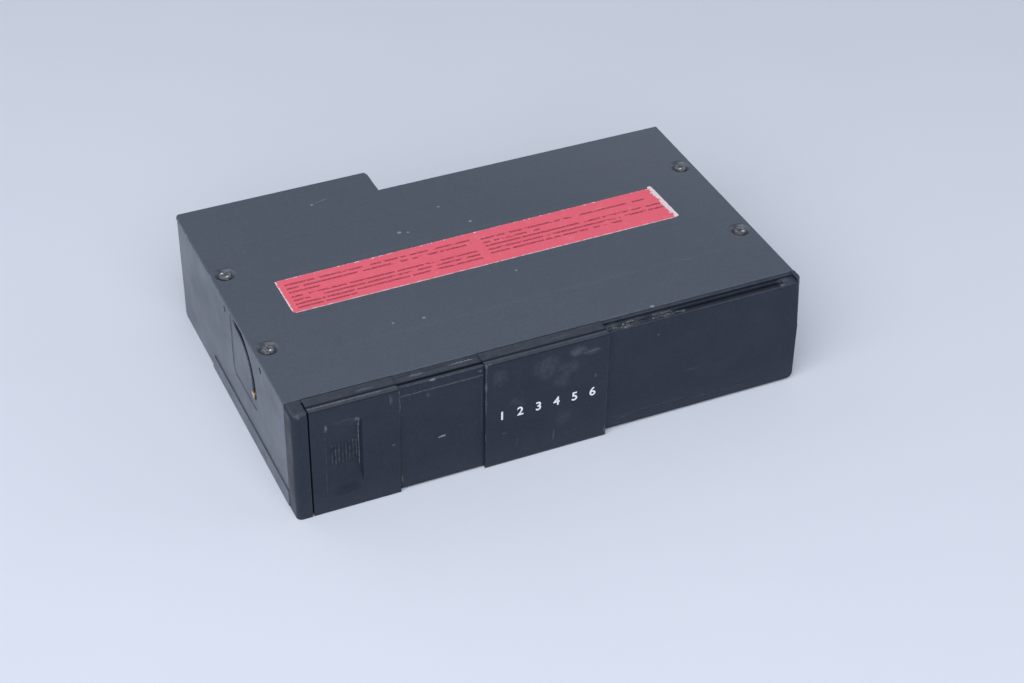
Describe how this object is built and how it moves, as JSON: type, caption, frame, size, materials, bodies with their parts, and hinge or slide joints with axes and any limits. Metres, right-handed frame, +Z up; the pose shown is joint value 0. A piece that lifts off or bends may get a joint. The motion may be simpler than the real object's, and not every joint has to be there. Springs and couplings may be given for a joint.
{
  "type": "car disc changer",
  "caption": "Flat dark steel box for a car boot with a stepped back, a telescoping sliding front door, a disc magazine and a lifting player deck inside.",
  "frame": {"origin": "middle of the footprint, on the underside", "axes": "+Z up, the front with the sliding door faces -Y, +X to the right as seen from the front"},
  "size_m": [0.255, 0.1706, 0.0594],
  "materials": {
    "case_paint": "satin dark blue-grey stove paint",
    "black_screw": "blackened steel",
    "label_film": "satin printed film",
    "front_plastic": "fine textured charcoal plastic",
    "frame_black": "black-coated sheet steel",
    "zinc_steel": "zinc-plated sheet steel",
    "bright_steel": "ground steel",
    "spring_wire": "spring wire",
    "brass_stud": "turned brass",
    "damper_rubber": "soft black rubber",
    "magazine_plastic": "dark grey plastic",
    "tray_plastic": "grey plastic",
    "disc_face": "clear plastic over aluminium",
    "gear_plastic": "white acetal",
    "motor_steel": "plated motor can",
    "pickup_body": "black glass-filled plastic",
    "lens_glass": "coated lens",
    "board_resin": "green solder mask",
    "component_black": "moulded component bodies"
  },
  "bodies": {
    "chassis": {"base_tray": "case_paint", "left_side_plate": "case_paint", "right_side_plate": "case_paint", "rear_panel": "case_paint", "top_cover": "case_paint", "case_screws": "black_screw", "cover_label": "label_film", "front_bezel": "front_plastic", "pivot_pins": "bright_steel", "mech_base_plate": "zinc_steel", "mech_side_walls": "frame_black", "mech_top_frame": "zinc_steel", "guide_rods": "bright_steel", "rubber_dampers": "damper_rubber", "magazine_rails": "magazine_plastic", "magazine_shell": "magazine_plastic", "lift_motor": "motor_steel", "drive_brackets": "zinc_steel", "tray_motor": "motor_steel", "main_board": "board_resin", "board_parts": "component_black", "rear_sockets": "component_black", "eject_spring": "spring_wire", "magazine_tray_1": "tray_plastic", "magazine_tray_2": "tray_plastic", "magazine_tray_3": "tray_plastic", "magazine_tray_4": "tray_plastic", "magazine_tray_5": "tray_plastic", "stored_discs": "disc_face"},
    "centre_cover": {"centre_panel": "front_plastic"},
    "door": {"door_panel": "front_plastic"},
    "left_adjuster": {"left_adjuster_lever": "zinc_steel", "left_adjuster_stud": "brass_stud", "left_float_spring": "spring_wire"},
    "right_adjuster": {"right_adjuster_lever": "zinc_steel", "right_adjuster_stud": "brass_stud", "right_float_spring": "spring_wire"},
    "button": {"eject_button": "front_plastic"},
    "latch": {"magazine_latch": "zinc_steel"},
    "deck": {"deck_plate": "zinc_steel", "rod_hangers": "zinc_steel", "lift_pins": "bright_steel", "spindle_motor": "motor_steel", "pickup_rods": "bright_steel", "sled_motor": "motor_steel", "clamp_bracket": "zinc_steel"},
    "disc_table": {"turntable": "gear_plastic"},
    "pickup": {"pickup_sled": "pickup_body", "pickup_lens": "lens_glass"},
    "pickup_screw": {"sled_screw": "bright_steel"},
    "clamp": {"clamp_arm": "zinc_steel"},
    "clamp_puck": {"clamper": "gear_plastic"},
    "cam": {"lift_cam_plate": "zinc_steel"},
    "lift_wheel": {"lift_gear": "gear_plastic"},
    "lift_pinion": {"lift_motor_gear": "gear_plastic"},
    "pusher": {"tray_pusher": "gear_plastic"},
    "tray_screw": {"pusher_screw": "bright_steel"},
    "tray_pinion": {"tray_motor_gear": "gear_plastic"},
    "top_tray": {"magazine_tray_6": "tray_plastic"},
    "playing_disc": {"disc_6": "disc_face"}
  },
  "joints": [
    {"name": "centre_panel_slide", "type": "slide", "parent": "chassis", "child": "centre_cover", "axis": [1, 0, 0], "range_m": [0, 0.1]},
    {"name": "door_slide", "type": "slide", "parent": "centre_cover", "child": "door", "axis": [1, 0, 0], "range_m": [0, 0.0412]},
    {"name": "left_adjuster_swing", "type": "hinge", "parent": "chassis", "child": "left_adjuster", "pos_m": [-0.1249, -0.0045, 0.0305], "axis": [-1, 0, 0], "range_deg": [0, 82]},
    {"name": "right_adjuster_swing", "type": "hinge", "parent": "chassis", "child": "right_adjuster", "pos_m": [0.1249, -0.0045, 0.0305], "axis": [-1, 0, 0], "range_deg": [0, 82]},
    {"name": "eject_press", "type": "slide", "parent": "chassis", "child": "button", "axis": [0, 1, 0], "range_m": [0, 0.003], "stiffness_N_per_m": 400, "springref_m": -0.003, "deforming": ["eject_spring"]},
    {"name": "latch_swing", "type": "hinge", "parent": "chassis", "child": "latch", "pos_m": [0.0065, -0.0525, 0.0468], "axis": [0, 0, 1], "range_deg": [0, 13]},
    {"name": "deck_lift", "type": "slide", "parent": "chassis", "child": "deck", "axis": [0, 0, 1], "range_m": [0, 0.0284]},
    {"name": "cam_slide", "type": "slide", "parent": "chassis", "child": "cam", "axis": [0, 1, 0], "range_m": [0, 0.033]},
    {"name": "lift_gear_spin", "type": "hinge", "parent": "chassis", "child": "lift_wheel", "pos_m": [0.1165, -0.0045, 0.0482], "axis": [1, 0, 0], "range_deg": [0, 390]},
    {"name": "lift_motor_spin", "type": "hinge", "parent": "chassis", "child": "lift_pinion", "pos_m": [0.115, 0.0069, 0.0482], "axis": [1, 0, 0], "range_deg": [-1100, 0]},
    {"name": "tray_slide", "type": "slide", "parent": "chassis", "child": "top_tray", "axis": [1, 0, 0], "range_m": [0, 0.091]},
    {"name": "disc_spin", "type": "hinge", "parent": "top_tray", "child": "playing_disc", "pos_m": [-0.0445, -0.0125, 0.0406], "axis": [0, 0, 1], "continuous": true},
    {"name": "pusher_slide", "type": "slide", "parent": "chassis", "child": "pusher", "axis": [1, 0, 0], "range_m": [0, 0.0915]},
    {"name": "tray_screw_spin", "type": "hinge", "parent": "chassis", "child": "tray_screw", "pos_m": [-0.0675, 0.0631, 0.0475], "axis": [1, 0, 0], "range_deg": [0, 2740]},
    {"name": "tray_motor_spin", "type": "hinge", "parent": "chassis", "child": "tray_pinion", "pos_m": [-0.1215, 0.0721, 0.0475], "axis": [1, 0, 0], "range_deg": [-5480, 0]},
    {"name": "turntable_spin", "type": "hinge", "parent": "deck", "child": "disc_table", "pos_m": [0.0465, -0.0125, 0.0105], "axis": [0, 0, 1], "continuous": true},
    {"name": "pickup_slide", "type": "slide", "parent": "deck", "child": "pickup", "axis": [0, 1, 0], "range_m": [0, 0.035]},
    {"name": "pickup_screw_spin", "type": "hinge", "parent": "deck", "child": "pickup_screw", "pos_m": [0.066, 0.0255, 0.0056], "axis": [0, 1, 0], "range_deg": [0, 2110]},
    {"name": "clamp_close", "type": "hinge", "parent": "deck", "child": "clamp", "pos_m": [0.0465, 0.0555, 0.015], "axis": [1, 0, 0], "range_deg": [0, 4.5]},
    {"name": "clamper_spin", "type": "hinge", "parent": "clamp", "child": "clamp_puck", "pos_m": [0.0465, -0.01229, 0.02033], "axis": [0, 0.0785, 0.9969], "continuous": true}
  ],
  "couplings": [
    {"joint": "latch_swing", "follows": "eject_press", "rad_per_m": 71.4},
    {"joint": "cam_slide", "follows": "deck_lift", "ratio": 1.1268},
    {"joint": "lift_gear_spin", "follows": "deck_lift", "rad_per_m": 234.74},
    {"joint": "lift_motor_spin", "follows": "deck_lift", "rad_per_m": -657.28},
    {"joint": "pusher_slide", "follows": "tray_slide", "ratio": 1},
    {"joint": "tray_screw_spin", "follows": "tray_slide", "rad_per_m": 523.6},
    {"joint": "tray_motor_spin", "follows": "tray_slide", "rad_per_m": -1047.2},
    {"joint": "pickup_screw_spin", "follows": "pickup_slide", "rad_per_m": 1047.2},
    {"joint": "clamper_spin", "follows": "turntable_spin", "ratio": 1}
  ]
}
